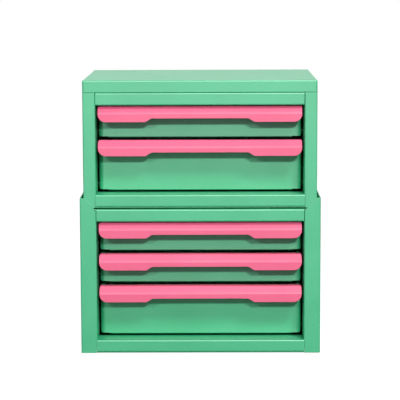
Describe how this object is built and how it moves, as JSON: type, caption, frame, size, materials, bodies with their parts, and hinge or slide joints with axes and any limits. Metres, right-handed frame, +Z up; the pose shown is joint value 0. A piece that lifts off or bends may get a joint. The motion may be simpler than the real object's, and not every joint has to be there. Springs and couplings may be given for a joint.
{
  "type": "pencil drawer box",
  "caption": "Desktop box of stacked sheet-steel cabinets whose pencil drawers slide out on stepped runners by full-width bent pulls; the upper cabinet lifts out of the lower one's ears.",
  "frame": {"origin": "on the table, under the middle of the lower cabinet's footprint", "axes": "+X to the right seen from the front, +Y to the back (the drawers open towards -Y), +Z up"},
  "size_m": [0.256, 0.19, 0.2938],
  "materials": {
    "green_enamel": "powder coat, pale green, satin with a very fine orange peel",
    "pink_enamel": "powder coat, pink, satin",
    "runner_zinc": "zinc-plated sheet, dull",
    "rivet_aluminium": "set rivet, lightly worked",
    "pad_rubber": "matt black rubber"
  },
  "bodies": {
    "lower_cabinet": {"lower_left_side": "green_enamel", "lower_right_side": "green_enamel", "lower_top_panel": "green_enamel", "lower_bottom_rail": "green_enamel", "lower_bottom_panel": "green_enamel", "lower_back_panel": "green_enamel", "lower_pads": "pad_rubber", "runner_3_left": "runner_zinc", "runner_3_right": "runner_zinc", "runner_4_left": "runner_zinc", "runner_4_right": "runner_zinc", "runner_5_left": "runner_zinc", "runner_5_right": "runner_zinc"},
    "upper_cabinet": {"upper_left_side": "green_enamel", "upper_right_side": "green_enamel", "upper_top_cover": "green_enamel", "upper_top_rail": "green_enamel", "upper_bottom_rail": "green_enamel", "upper_bottom_panel": "green_enamel", "upper_back_panel": "green_enamel", "upper_pads": "pad_rubber", "runner_1_left": "runner_zinc", "runner_1_right": "runner_zinc", "runner_2_left": "runner_zinc", "runner_2_right": "runner_zinc"},
    "drawer_1": {"drawer_1_front": "green_enamel", "drawer_1_pull": "pink_enamel", "drawer_1_tray": "green_enamel", "drawer_1_rivets": "rivet_aluminium"},
    "drawer_2": {"drawer_2_front": "green_enamel", "drawer_2_pull": "pink_enamel", "drawer_2_tray": "green_enamel", "drawer_2_rivets": "rivet_aluminium"},
    "drawer_3": {"drawer_3_front": "green_enamel", "drawer_3_pull": "pink_enamel", "drawer_3_tray": "green_enamel", "drawer_3_rivets": "rivet_aluminium"},
    "drawer_4": {"drawer_4_front": "green_enamel", "drawer_4_pull": "pink_enamel", "drawer_4_tray": "green_enamel", "drawer_4_rivets": "rivet_aluminium"},
    "drawer_5": {"drawer_5_front": "green_enamel", "drawer_5_pull": "pink_enamel", "drawer_5_tray": "green_enamel", "drawer_5_rivets": "rivet_aluminium"}
  },
  "joints": [
    {"name": "upper_cabinet_lift", "type": "slide", "parent": "lower_cabinet", "child": "upper_cabinet", "axis": [0, 0, 1], "range_m": [0, 0.05]},
    {"name": "drawer_1_slide", "type": "slide", "parent": "upper_cabinet", "child": "drawer_1", "axis": [0, -1, 0], "range_m": [0, 0.12]},
    {"name": "drawer_2_slide", "type": "slide", "parent": "upper_cabinet", "child": "drawer_2", "axis": [0, -1, 0], "range_m": [0, 0.12]},
    {"name": "drawer_3_slide", "type": "slide", "parent": "lower_cabinet", "child": "drawer_3", "axis": [0, -1, 0], "range_m": [0, 0.12]},
    {"name": "drawer_4_slide", "type": "slide", "parent": "lower_cabinet", "child": "drawer_4", "axis": [0, -1, 0], "range_m": [0, 0.12]},
    {"name": "drawer_5_slide", "type": "slide", "parent": "lower_cabinet", "child": "drawer_5", "axis": [0, -1, 0], "range_m": [0, 0.12]}
  ]
}
